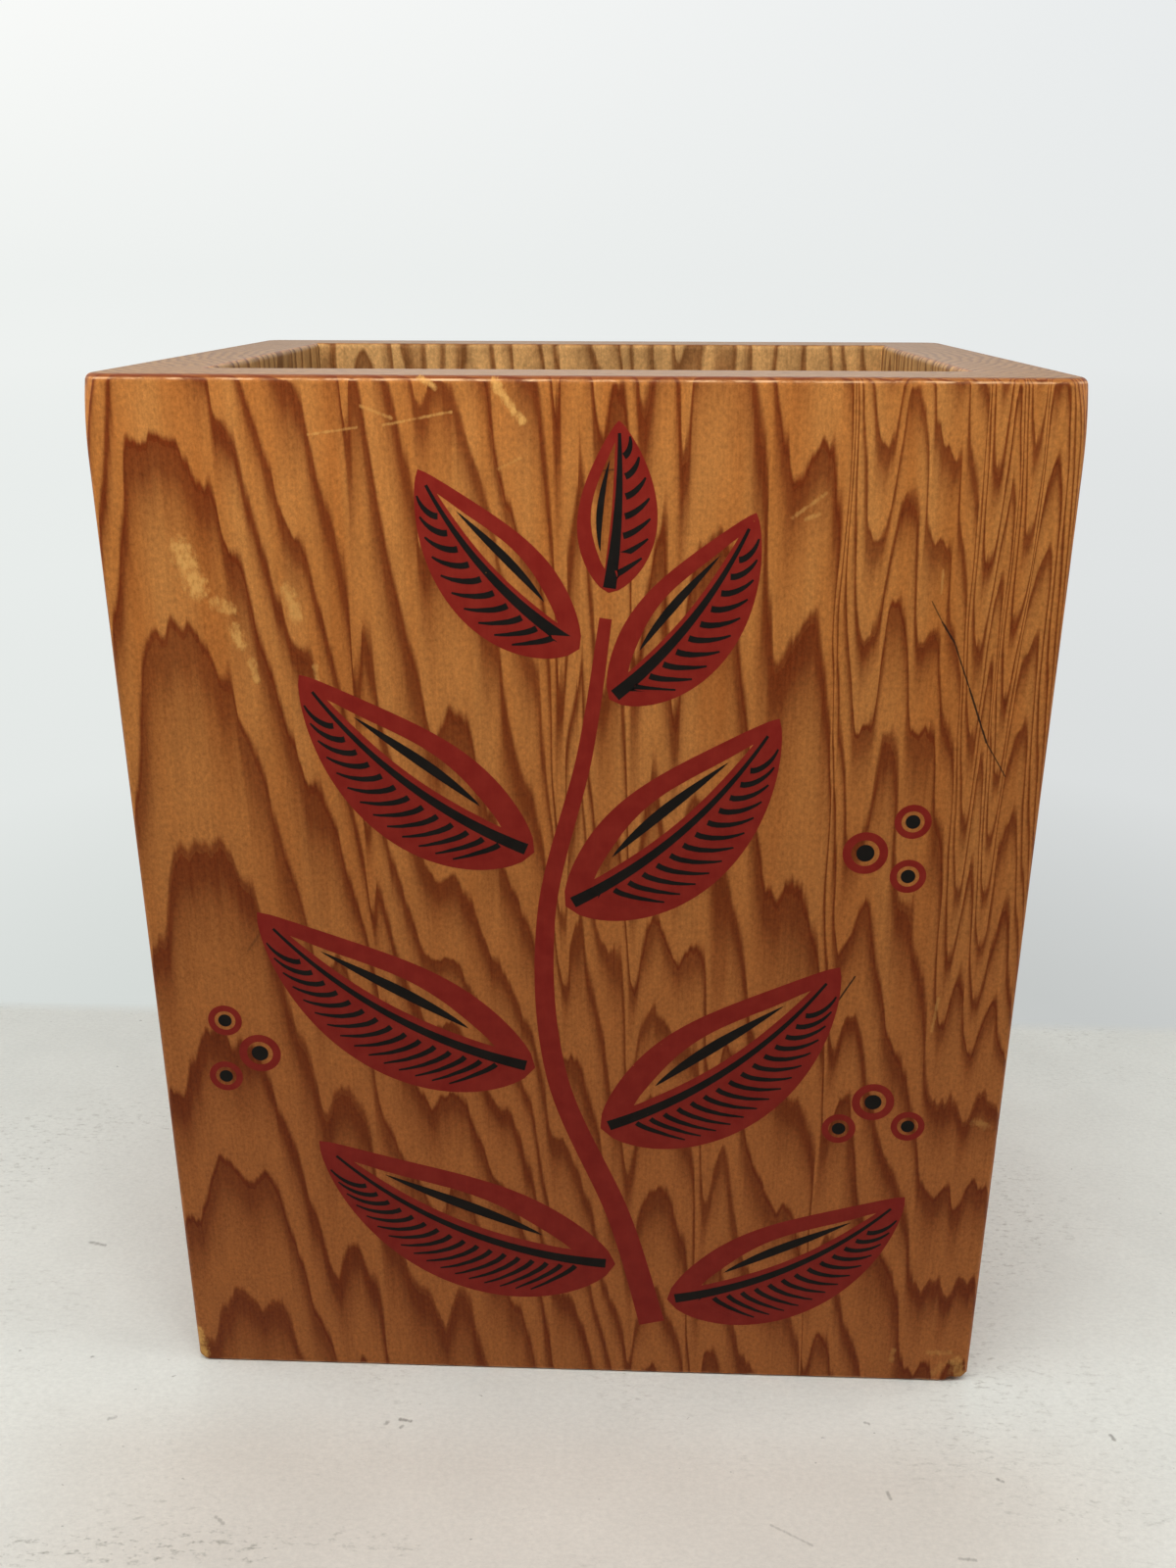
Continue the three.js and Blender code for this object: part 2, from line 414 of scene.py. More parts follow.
def late_wood(n, u, depth, z, slide, stretch, rise):
    """How much dark late wood shows at a point of a board, 0 to 1.

    The rings are slid and stretched along the board and raised, so that each board has its own part.
    """
    point = n.combine(u, depth, z)
    fine = n.remap(n.noise(point, FINE_SCALE), 0, 1, -FINE_SHIFT, FINE_SHIFT)
    slow = n.remap(n.noise(point, SLOW_SCALE, detail=1.0), 0, 1, -SLOW_SHIFT, SLOW_SHIFT)
    place = n.plus(n.math("MULTIPLY_ADD", u, stretch, slide), n.plus(fine, slow))
    flame = n.noise(point, FLAME_SCALE, detail=3.0)
    wobble = n.remap(flame, 0, 1, rise - FLAME_HEIGHT, rise + FLAME_HEIGHT)
    rings = ring_count(n, place, depth, z, wobble)
    beside = ring_count(n, n.plus(place, 1.0), depth, z, wobble)
    steep = n.math("ABSOLUTE", n.minus(beside, rings))

    above = n.math("FRACT", rings)
    below = n.math("DIVIDE", n.minus(1.0, above), n.remap(steep, *STEEPNESS, *LATE_SHARE), clamp=True)
    edge = n.remap(above, 0.0, n.remap(steep, *STEEPNESS, *LATE_EDGE), 1.0, 0.0, soft=True)
    late = n.larger(n.level(below, LATE_TONE), edge)
    number = n.math("FLOOR", n.plus(rings, 0.03))
    own = n.add("TexWhiteNoise", {"W": number}, noise_dimensions="1D").outputs["Value"]
    return n.times(late, n.remap(own, 0, 1, *RING_TONES))


def board_place(n, turn, breadth):
    """Along the board, into it from its outer face, and up, in millimetres."""
    turned = n.add("VectorRotate", {"Vector": n.position(), "Angle": -turn}, rotation_type="Z_AXIS")
    u, v, z = n.separate(turned.outputs[0])
    return u, n.plus(v, breadth / 2), z


def stroke_group():
    """A group whose output is 1 on a ragged stroke from A to B, and 0 away from it.

    Body says how whole the stroke is: it breaks up into patches near 0.
    """
    group = bpy.data.node_groups.new("stroke", "ShaderNodeTree")
    kinds = {"Place": "Vector", "A": "Vector", "B": "Vector", "Reach": "Float", "Body": "Float"}
    for name, kind in kinds.items():
        group.interface.new_socket(name=name, in_out="INPUT", socket_type="NodeSocket" + kind)
    group.interface.new_socket(name="Mask", in_out="OUTPUT", socket_type="NodeSocketFloat")
    n = Nodes(group)
    given = group.nodes.new("NodeGroupInput").outputs
    offset = n.vector("SUBTRACT", given["Place"], given["A"])
    run = n.vector("SUBTRACT", given["B"], given["A"])
    square = n.larger(n.vector("DOT_PRODUCT", run, run), 1e-6)
    share = n.math("DIVIDE", n.vector("DOT_PRODUCT", offset, run), square, clamp=True)
    away = n.vector("LENGTH", n.vector("SUBTRACT", offset, n.scaled(run, share)))
    ragged = n.noise(given["Place"], (1.0, 1.0, 0.6), detail=5.0, roughness=0.65)
    core = n.remap(n.math("DIVIDE", away, given["Reach"]), 0.0, 1.0, given["Body"], -0.65, soft=True)
    mask = n.remap(n.math("MULTIPLY_ADD", ragged, 1.3, core), 0.35, 0.85, soft=True)
    output = group.nodes.new("NodeGroupOutput")
    group.links.new(mask, output.inputs["Mask"])
    return group


STROKE = stroke_group()

# Wear on the front face: from, to, half width, in millimetres, and how strongly it shows
SCUFFS = [
    ((-76.0, 196.5), (-73.5, 189.0), 5.6, 0.8),
    ((-70.5, 186.2), (-67.5, 185.2), 3.2, 0.7),
    ((-66.8, 181.0), (-66.2, 178.0), 3.3, 0.75),
    ((-64.2, 174.6), (-63.6, 171.0), 2.1, 0.6),
    ((-56.2, 188.8), (-54.6, 183.5), 3.8, 0.6),
    ((-51.8, 174.0), (-51.2, 166.5), 1.3, 0.55),
    ((-50.0, 218.0), (-41.0, 219.3), 0.7, 0.5),
    ((-36.0, 219.8), (-23.5, 222.2), 0.75, 0.55),
    ((-40.0, 223.2), (-34.5, 221.0), 0.9, 0.45),
    ((-15.5, 227.5), (-10.6, 220.6), 2.3, 0.9),
    ((-29.0, 228.0), (-26.5, 226.6), 1.6, 0.8),
    ((-15.0, 212.0), (-11.0, 214.0), 0.8, 0.35),
    ((39.5, 203.5), (45.5, 208.0), 1.0, 0.4),
    ((42.0, 203.2), (44.5, 204.2), 1.1, 0.45),
    ((68.2, 194.0), (68.3, 189.5), 0.65, 0.4),
    ((75.8, 103.0), (75.0, 95.0), 0.9, 0.35),
    ((86.5, 72.5), (89.0, 71.5), 2.7, 0.3),
    ((82.0, 8.4), (87.0, 8.6), 1.9, 0.3),
    ((88.8, 6.0), (89.8, 2.2), 4.4, 0.5),
    ((84.0, 2.4), (85.4, 5.0), 2.6, 0.22),
    ((74.0, 9.0), (73.6, 5.5), 1.5, 0.3),
    ((-91.6, 9.0), (-90.4, 1.2), 3.4, 0.9),
    ((-41.0, 38.0), (-38.5, 36.4), 1.6, 0.35),
    ((-30.0, 33.0), (-27.0, 31.0), 1.8, 0.3),
]
SCRATCHES = [
    ((66.7, 188.0), (69.0, 184.0), 0.26, 0.7),
    ((69.0, 184.0), (71.7, 180.0), 0.42, 0.95),
    ((71.7, 180.0), (75.4, 171.0), 0.30, 0.9),
    ((75.4, 171.0), (79.8, 160.0), 0.40, 0.95),
    ((79.8, 160.0), (84.2, 153.0), 0.29, 0.8),
    ((51.0, 101.8), (54.8, 101.9), 0.42, 0.9),
    ((54.8, 101.9), (57.9, 107.7), 0.40, 0.9),
    ((2.3, 211.7), (7.0, 212.1), 0.40, 0.5),
    ((7.0, 212.1), (11.2, 213.4), 0.50, 0.7),
    ((-70.5, 111.0), (-66.8, 116.5), 0.50, 0.3),
]


def stroke_mask(n, place, strokes, body):
    """Where any of the strokes lies, as strongly as it shows."""
    total = 0.0
    for (x0, z0), (x1, z1), reach, strength in strokes:
        inputs = {"Place": place, "A": (x0, 0, z0), "B": (x1, 0, z1), "Reach": reach, "Body": body}
        stroke = n.add("Group", inputs, node_tree=STROKE)
        total = n.larger(total, n.times(stroke.outputs[0], strength))
    return total


# Lines along the arrises of the outer face, as shares of ARRIS_REACH away from them: down from the rim
# the dark, worn arris and below it a pale line that is a painted highlight on the rounded arris, then
# pale wear up from the foot, and in from the upright arrises
ARRIS_REACH = 2.0
RIM_SHADE = [(0.0, 0.0), (0.03, 1.0), (0.25, 1.0), (0.36, 0.0)]
RIM_HIGHLIGHT = [(0.28, 0.0), (0.36, 1.0), (0.44, 1.0), (0.54, 0.0)]
FOOT_LINE = [(0.0, 0.6), (0.25, 0.9), (0.45, 0.0)]
END_LINE = [(0.10, 0.0), (0.30, 0.6), (0.50, 0.0)]
RIM_SHADE_RUN = (10.0, 80.0)  # along the board, where the dark arris grows weaker
RIM_SHADE_STRENGTH = (0.75, 0.40)
RIM_HIGHLIGHT_STRENGTH = 1.0
FOOT_STRENGTH = 0.4
END_STRENGTH = 0.18
BROKEN = (0.44, 0.62, 0.08, 0.95)  # noise at which the lines are broken and whole, and how they show

# Rings across the end of a board: arcs round a heart this far behind its inner face
END_HEART = 80.0
END_SPACING = 2.3
END_SWAY = 0.8  # how far the rings sway to each side, in rings
END_BELOW = (0.25, 0.04)  # this far below the top of the rim, the face's grain passes into them
END_LATE_STRENGTH = 0.75


def arris_line(n, away, stops):
    """The level of stops at a distance from an arris."""
    return n.level(n.math("DIVIDE", away, ARRIS_REACH, clamp=True), stops)


def end_grain(n, u, depth, z, slide):
    """How much late wood shows at a point of a board's end, 0 to 1."""
    heart = n.combine(n.plus(u, slide), n.minus(depth, WALL + END_HEART), 0.0)
    sway = n.noise(n.combine(u, depth, z), END_SWAY_SCALE, detail=4.0)
    rings = n.math("DIVIDE", n.vector("LENGTH", heart), END_SPACING)
    share = n.math("FRACT", n.plus(rings, n.remap(sway, *WIDE, -END_SWAY, END_SWAY)))
    return n.larger(n.remap(share, 0.40, 0.88, soft=True), n.remap(share, 0.0, 0.18, 1.0, 0.0))


def rim_colour(n, colour, u, depth, z, slide):
    """End grain on the rim, and a dark arris round its outer edge."""
    below = n.minus(HEIGHT, z)
    patch = n.noise(n.combine(u, depth, z), END_PATCH_SCALE, detail=4.0)
    late = n.times(end_grain(n, u, depth, z, slide), END_LATE_STRENGTH)
    end = n.scaled(n.mix(late, END_EARLY, END_LATE), n.remap(patch, *MIDDLE, *END_PATCH_TONE))
    colour = n.mix(n.remap(below, *END_BELOW), colour, end)
    strength = n.remap(u, *RIM_SHADE_RUN, *RIM_SHADE_STRENGTH)
    strength = n.times(strength, n.remap(depth, *RIM_SHADE_DEPTHS))
    return n.mix(n.times(arris_line(n, below, RIM_SHADE), strength), colour, ARRIS_DARK)


def edge_wear_and_highlight(n, u, depth, z, length):
    """Thin broken pale lines along the arrises of the outer face: a painted highlight below the rim, and
    lacquer rubbed off at the foot and the upright arrises.
    """
    below = n.minus(HEIGHT, z)
    from_end = n.minus(length / 2, n.math("ABSOLUTE", u))
    lines = 0.0
    for away, stops, strength in ((below, RIM_HIGHLIGHT, RIM_HIGHLIGHT_STRENGTH), (z, FOOT_LINE, FOOT_STRENGTH),
                                  (from_end, END_LINE, END_STRENGTH)):
        lines = n.larger(lines, n.times(arris_line(n, away, stops), strength))
    broken = n.noise(n.combine(u, depth, z), BROKEN_SCALE, detail=4.0, roughness=0.65)
    outer = n.remap(depth, *EDGE_WEAR_DEPTHS)
    return n.times(n.times(lines, outer), n.remap(broken, *BROKEN))


def grain_height(n, fibre, late):
    """The relief of the wood: its fibres, and the harder late wood."""
    return n.plus(n.times(fibre, FIBRE_RELIEF), n.times(late, LATE_RELIEF))


def cedar(name, turn, length, breadth, slide=0.0, stretch=1.0, rise=0.0, inner_shade=1.0, worn=False):
    """Lacquered cedar for one upright board. Its inner face is made darker by the given factor: painted
    shade where less light falls on it inside the box.
    """
    material, n = new_material(name)
    u, depth, z = board_place(n, turn, breadth)
    point = n.combine(u, depth, z)
    fibre = n.noise(point, FIBRE_SCALE, detail=3.0, roughness=0.6)
    band = n.noise(point, BAND_SCALE)
    speck = n.noise(point, SPECK_SCALE, detail=4.0, roughness=0.75)
    patch = n.noise(point, PATCH_SCALE, detail=3.0)
    late = late_wood(n, u, depth, z, slide, stretch, rise)
    late = n.plus(late, n.remap(fibre, *DARK_FIBRES), clamp=True)

    inside = n.remap(depth, *INSIDE_DEPTHS)
    early = n.mix(n.remap(band, *CORE), EARLY_WOOD, EARLY_WOOD_WARM)
    # Painted shade: early wood darker towards the foot
    early = n.mix(n.remap(z, *LOW_SHADE_HEIGHTS), early, EARLY_WOOD_LOW_SHADE)
    early = n.mix(inside, early, INSIDE_EARLY)
    colour = n.mix(late, early, n.mix(inside, LATE_WOOD, INSIDE_LATE))
    # Painted shade: each board's inner face is darkened by how little light falls on it
    blotch_and_shade = n.remap(patch, *MIDDLE, *[inner_shade * tone for tone in INSIDE_PATCH_TONE])
    blotch_and_shade = n.blend(inside, n.remap(patch, *MIDDLE, *PATCH_TONE), blotch_and_shade)
    tone = n.times(n.remap(fibre, *WIDE, *FIBRE_TONE), n.remap(speck, *WIDE, *SPECK_TONE))
    colour = rim_colour(n, n.scaled(colour, n.times(tone, blotch_and_shade)), u, depth, z, slide)
    # Pale arris lines: painted highlight below the rim, rubbed wear elsewhere
    colour = n.mix(edge_wear_and_highlight(n, u, depth, z, length), colour, ARRIS_HIGHLIGHT_AND_WEAR)

    roughness = n.remap(speck, *WIDE, *BOARD_ROUGHNESS)
    if worn:
        place = n.combine(u, 0.0, z)
        outer = n.remap(depth, *STROKE_DEPTHS)
        bare = n.times(stroke_mask(n, place, SCUFFS, body=0.06), outer)
        scratch = n.times(stroke_mask(n, place, SCRATCHES, body=0.45), outer)
        colour = n.mix(bare, n.mix(scratch, colour, SCRATCH_DARK), BARE_WOOD)
        roughness = n.math("MULTIPLY_ADD", bare, BARE_ROUGHNESS, roughness)
    shader = surface(n, colour, roughness, BOARD_SPECULAR, grain_height(n, fibre, late), BOARD_BUMP)
    n.add("OutputMaterial", {0: shader})
    return material


def bottom_cedar(name):
    """The bottom board: paler, thinly sealed, with its grain along the length of the box."""
    material, n = new_material(name)
    x, y, z = n.separate(n.position())
    point = n.combine(x, y, z)
    fibre = n.noise(point, BOTTOM_FIBRE_SCALE, detail=3.0, roughness=0.6)
    dust = n.noise(point, 0.06, detail=4.0, roughness=0.6)
    depth = n.minus(BOTTOM_TOP, z)
    late = late_wood(n, y, depth, n.plus(x, WIDTH / 2), slide=-20.0, stretch=1.1, rise=60.0)
    late = n.plus(late, n.remap(fibre, *BOTTOM_DARK_FIBRES), clamp=True)
    tone = n.times(n.remap(fibre, *WIDE, *BOTTOM_FIBRE_TONE), n.remap(dust, *MIDDLE, *BOTTOM_DUST_TONE))
    colour = n.scaled(n.mix(late, INSIDE_EARLY, INSIDE_LATE), tone)
    roughness = n.remap(dust, *MIDDLE, *BOTTOM_ROUGHNESS)
    shader = surface(n, colour, roughness, BOTTOM_SPECULAR, grain_height(n, fibre, late), BOTTOM_BUMP)
    n.add("OutputMaterial", {0: shader})
    return material


INK_ROUGHNESS = (0.36, 0.46)
PRICKS = (0.83, 0.87, 0.0, 0.7)  # noise from which the ink is pricked, and how much wood shows there


def ink(name, colour, lighter):
    """Screen ink: a little mottled, pricked here and there, with the wood's fibres showing in relief."""
    material, n = new_material(name)
    u, depth, z = board_place(n, 0.0, DEPTH)
    fibre = n.noise(n.combine(u, depth, z), INK_FIBRE_SCALE, detail=3.0, roughness=0.6)
    mottle = n.noise(n.combine(u, 0.0, z), 0.22, detail=4.0, roughness=0.6)
    prick = n.noise(n.combine(u, 3.0, z), 0.9, detail=1.0)
    colour = n.mix(n.remap(mottle, *CORE), colour, lighter)
    colour = n.scaled(colour, n.remap(fibre, *WIDE, *FIBRE_TONE))
    colour = n.mix(n.remap(prick, *PRICKS), colour, EARLY_WOOD)
    roughness = n.remap(mottle, *MIDDLE, *INK_ROUGHNESS)
    n.add("OutputMaterial", {0: surface(n, colour, roughness, INK_SPECULAR, fibre, INK_BUMP)})
    return material


# Board meshes

def eased(radius):
    """An eased edge from its face to its end: how far in from the face, and how far from the end."""
    angles = [math.pi / 2 * i / ROUND_STEPS for i in range(ROUND_STEPS + 1)]
    return [(radius * (1 - math.cos(a)), radius * (1 - math.sin(a))) for a in angles]


def spread(low, high, steps):
    """Values from low to high that lie closer together at both ends."""
    shares = 0.5 - 0.5 * np.cos(np.linspace(0, math.pi, steps + 1))
    return low + (high - low) * shares


def board_profile():
    """A wall's closed section: how far in from its outer face, and how high."""
    inner = WALL - INK_RELIEF
    ledge = BOTTOM_TOP + GLUE_LINE
    rabbet = RABBET_INSET - INK_RELIEF
    points = [(inset, end) for inset, end in reversed(eased(FOOT_RADIUS))]
    points += [(0, z) for z in spread(FOOT_RADIUS, HEIGHT - RIM_RADIUS, UPRIGHT_STEPS)[1:-1]]
    points += [(inset, HEIGHT - end) for inset, end in eased(RIM_RADIUS)]
    points += [(i, HEIGHT) for i in np.linspace(RIM_RADIUS, inner - MOUTH_RADIUS, RIM_STEPS + 1)[1:-1]]
    points += [(inner - inset, HEIGHT - end) for inset, end in reversed(eased(MOUTH_RADIUS))]
    points += [(inner, z) for z in spread(HEIGHT - MOUTH_RADIUS, ledge, INSIDE_STEPS)[1:]]
    points += [(rabbet, ledge), (rabbet, 0)]
    return points


def corner_radius(z):
    """The outer corners are sanded rounder near the rim."""
    share = min(max((z - HEIGHT + RIM_RADIUS + RIM_CORNER_FADE) / RIM_CORNER_FADE, 0), 1)
    return UPRIGHT_RADIUS + (RIM_CORNER_RADIUS - UPRIGHT_RADIUS) * share ** 2


def half_corner(x, y, radius, start):
    """An eighth of a circle round a point, and the directions that it faces."""
    angles = start + np.linspace(0, math.pi / 4, CORNER_STEPS + 1)
    facing = [(math.cos(a), math.sin(a)) for a in angles]
    return [(x + radius * c, y + radius * s) for c, s in facing], facing


def wall_outline(length, breadth, inset, radius):
    """Half of each corner round and the straight between them, and the directions that they face."""
    a, b = length / 2 - inset - radius, breadth / 2 - inset - radius
    left, left_facing = half_corner(-a, -b, radius, math.pi * 1.25)
    right, right_facing = half_corner(a, -b, radius, math.pi * 1.5)
    straight = [(u, -b - radius) for u in spread(-a, a, ALONG_STEPS)[1:-1]]
    return left + straight + right, left_facing + [(0, -1)] * len(straight) + right_facing


# Chips at the two lower front corners: how far each reaches along the front and back from it, and how
# high it is. The right one is long and low, and has a nick in it at the very corner.
LEFT_CHIP = (2.6, 4.0, 2.3)
RIGHT_CHIP = (6.0, 3.0, 1.5)
RIGHT_CHIP_END = 1.5  # the last stretch along the front, where it sinks to nothing
RIGHT_NICK = (1.8, 3.0, 2.2)
# Small dents along the foot of the front: place, half width and height
FOOT_DENTS = [(80.0, 1.6, 0.5), (-20.0, 1.2, 0.3), (-4.0, 1.0, 0.25), (31.0, 1.4, 0.35), (57.0, 1.0, 0.25)]
FOOT_DENT_DEPTH = 2.0  # back from the front
CHIP_TOP = 5.0  # no chip or dent reaches this high

# Uneven rubbing of the outer arrises
RUB_REACH = 5.0  # how far from an arris it shows
RUB_INSET = 4.0  # how far in from the outer face it shows on the rim and the foot
RUB_CORNER = 2.07  # how far an upright arris lies outside the circle of RUB_REACH touching both faces
RUB_SLOW = (0.13, 0.04)  # scale of its noise, and its most in millimetres
RUB_QUICK = (0.6, 0.02)
RUB_DOWN = 0.6  # the rim goes down by this share of it


def wedge(sizes, across, from_front):
    """How high a chip is at a distance from its corner, before it ends at 0."""
    width, depth, height = sizes
    return height * (1 - across / width - from_front / depth)


def chip_height(x, y):
    """How high the wood is broken away above the floor, under a point of the front board's foot."""
    from_front = y + DEPTH / 2
    left = wedge(LEFT_CHIP, WIDTH / 2 + x, from_front)
    width, depth, height = RIGHT_CHIP
    right = height * (1 - from_front / depth) * smooth((x - WIDTH / 2 + width) / RIGHT_CHIP_END)
    right += max(wedge(RIGHT_NICK, WIDTH / 2 - x, from_front), 0)
    shallow = max(1 - from_front / FOOT_DENT_DEPTH, 0)
    dents = [high * shallow * max(1 - ((x - place) / reach) ** 2, 0) for place, reach, high in FOOT_DENTS]
    return max(left, right, 0, *dents)


def rub_depth(x, y, z):
    """How deep the outer arrises are rubbed at a point of the outer face."""
    across = [max(abs(x) - WIDTH / 2 + RUB_REACH, 0), max(abs(y) - DEPTH / 2 + RUB_REACH, 0)]
    upright = (math.hypot(*across) - RUB_REACH) / RUB_CORNER
    near = max(smooth(upright), smooth(1 - (HEIGHT - z) / RUB_REACH), smooth(1 - z / RUB_REACH))
    slow = 0.5 + 0.5 * noise.noise(Vector((x, y, z)) * RUB_SLOW[0])
    quick = abs(noise.noise(Vector((x + 40, y, z)) * RUB_QUICK[0]))
    return near * (slow * RUB_SLOW[1] + quick * RUB_QUICK[1])


def wear_points(points, outward, insets):
    """Rubs the outer arrises unevenly and breaks the chips out of the foot."""
    worn = points.copy()
    for i, (x, y, z) in enumerate(points):
        if insets[i] > RUB_INSET:
            continue
        push = rub_depth(x, y, z) * (1 - insets[i] / RUB_INSET)
        worn[i, :2] -= outward[i] * push
        worn[i, 2] -= push * RUB_DOWN * smooth((z - HEIGHT + RIM_RADIUS) / RIM_RADIUS)
        if z < CHIP_TOP:
            worn[i, 2] = max(worn[i, 2], chip_height(x, y))
    return worn


def board_points(length, breadth, turn):
    """Rows of points round the board's section, each running from mitre to mitre."""
    rows, outward, insets = [], [], []
    for inset, z in board_profile():
        radius = max(corner_radius(z) - inset, INNER_CORNER_RADIUS)
        outline, facing = wall_outline(length - 2 * INK_RELIEF, breadth - 2 * INK_RELIEF, inset, radius)
        rows.append([(u, v, z) for u, v in outline])
        outward.append(facing)
        insets += [inset] * len(outline)
    points = np.array(rows).reshape(-1, 3)
    spin = np.array([[math.cos(turn), -math.sin(turn)], [math.sin(turn), math.cos(turn)]])
    points[:, :2] = points[:, :2] @ spin.T
    facing = np.array(outward).reshape(-1, 2) @ spin.T
    return wear_points(points, facing, insets), len(rows), len(rows[0])


def add_object(name, data):
    added = bpy.data.objects.new(name, data)
    bpy.context.scene.collection.objects.link(added)
    return added


def build_mesh(name, points, faces, material):
    mesh = bpy.data.meshes.new(name)
    mesh.from_pydata((np.asarray(points) * MM).tolist(), [], faces)
    mesh.materials.append(material)
    mesh.shade_smooth()
    mesh.set_sharp_from_angle(angle=SHARP_ANGLE)
    return add_object(name, mesh)


def wall_board(name, node, length, breadth, turn, material, slot):
    """One upright board, mitred at both ends, in place of its CAD node."""
    points, rows, count = board_points(length, breadth, turn)
    faces = []
    for row in range(rows):
        here, above = row * count, (row + 1) % rows * count
        faces += [(here + i, here + i + 1, above + i + 1, above + i) for i in range(count - 1)]
    faces.append([row * count for row in range(rows)])
    faces.append([row * count + count - 1 for row in reversed(range(rows))])
    piece = build_mesh(name, points, faces, material)
    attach(piece, "root")
    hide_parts(node)


# The print: an upright spray of leaves with a few berries. Millimetres on the front face, x to the
# right and z up. A leaf has its place along the stem, as a share, its heading in degrees, its length,
# its half width and how far it bends in degrees. A berry has its x, its z and its radius.
STEM = [(17, 15), (9, 45), (-5, 82), (-7, 120), (1, 156), (5, 184)]
STEM_HALF_WIDTHS = (3.0, 1.2)
LEAVES = [
    (0.05, 20, 62, 13.0, 40),
    (0.12, 166, 76, 15.0, -46),
    (0.33, 30, 66, 14.5, 38),
    (0.41, 158, 70, 14.0, -40),
    (0.60, 36, 60, 13.0, 34),
    (0.68, 150, 60, 12.5, -36),
    (0.86, 46, 46, 10.0, 30),
    (0.92, 140, 46, 10.0, -34),
    (1.00, 84, 32, 7.5, 12),
]
LEAF_CLEARANCE = 5.0
BERRIES = [(64, 77, 4.6), (72, 71, 3.7), (57, 70, 3.7), (58, 136, 4.6), (67, 143, 3.7), (67, 131, 3.7),
           (-70, 86, 4.6), (-78, 80, 3.7), (-77, 94, 3.7)]
BERRY_HOLLOW = 0.62  # radius of the bare ring and of the black heart, as shares of a berry's
BERRY_HEART = 0.40
# On a leaf, a crescent has its start and end as shares of the length, its side in half widths, and
# how far it bulges to its far and its near side
LEAF_HOLLOW = (0.14, 0.88, -0.28, 0.40, 0.12)
LEAF_SLIVER = (0.24, 0.78, -0.40, 0.14, 0.03)
VEIN_SPACING = 2.9
MERGE_DISTANCE = 0.002  # points of the film closer than this are one


def smooth_path(points, steps=12):
    """A Catmull-Rom curve through points."""
    padded = [points[0], *points, points[-1]]
    path = []
    for i in range(1, len(padded) - 2):
        a, b, c, d = (np.array(p, float) for p in padded[i - 1:i + 3])
        for t in np.arange(steps) / steps:
            path.append(0.5 * (2 * b + (c - a) * t + (2 * a - 5 * b + 4 * c - d) * t ** 2
                               + (3 * b - a - 3 * c + d) * t ** 3))
    return np.array([*path, points[-1]])


def ribbon(path, half_width):
    """A closed outline along path, half_width(share) to each side."""
    path = np.asarray(path, float)
    run = np.gradient(path, axis=0)
    run /= np.linalg.norm(run, axis=1)[:, None]
    side = np.stack([-run[:, 1], run[:, 0]], 1)
    widths = np.array([half_width(s) for s in np.linspace(0, 1, len(path))])[:, None]
    return np.concatenate([path + side * widths, (path - side * widths)[::-1]])


def ring(x, z, radius, steps=40):
    angles = np.linspace(0, 2 * math.pi, steps, endpoint=False)
    return np.stack([x + radius * np.cos(angles), z + radius * np.sin(angles)], 1)


class Leaf:
    """A leaf that bends evenly along its length. Its hollow side faces up, and its veins hang below."""

    STEPS = 40

    def __init__(self, base, heading, length, half_width, bend):
        turns = np.radians(heading + bend * ((np.arange(self.STEPS) + 0.5) / self.STEPS - 0.25))
        moves = np.stack([np.cos(turns), np.sin(turns)], 1) * length / self.STEPS
        self.spine = np.concatenate([[base], base + np.cumsum(moves, axis=0)])
        self.length = length
        self.half_width = half_width
        self.under = -1 if bend > 0 else 1

    def at(self, share, side):
        """The point at a share of the spine, side half widths towards the underside."""
        share = min(max(share, 0), 1)
        index = min(int(share * self.STEPS), self.STEPS - 1)
        run = self.spine[index + 1] - self.spine[index]
        place = self.spine[index] + run * (share * self.STEPS - index)
        width = self.half_width * math.sin(math.pi * share ** 0.8) ** 0.8 if 0 < share < 1 else 0
        return place + np.array([-run[1], run[0]]) / np.linalg.norm(run) * width * side * self.under

    def outline(self):
        shares = np.linspace(0, 1, 41)
        return [self.at(s, 1) for s in shares] + [self.at(s, -1) for s in shares[-2:0:-1]]

    def crescent(self, start, end, side, far, near):
        """A pointed sliver between two shares of the spine, bulging by far and near."""
        shares = np.linspace(0, 1, 25)
        bulge = np.sin(math.pi * shares) ** 0.65
        along = start + (end - start) * shares
        outer = [self.at(s, side - far * b) for s, b in zip(along, bulge)]
        inner = [self.at(s, side + near * b) for s, b in zip(along, bulge)]
        return outer + inner[-2:0:-1]

    def midrib(self):
        spine = [self.at(s, 0) for s in np.linspace(0.03, 0.93, 31)]
        return ribbon(spine, lambda t: 0.95 * (1 - t) + 0.3)

    def veins(self):
        count = int(self.length * 0.66 / VEIN_SPACING)
        shares = np.linspace(0, 1, 9)
        for start in np.linspace(0.12, 0.80, count):
            path = [self.at(start + 0.11 * t ** 1.4, 0.18 + 0.64 * t) for t in shares]
            yield ribbon(path, lambda t: 0.62 * (1 - 0.7 * t * t))


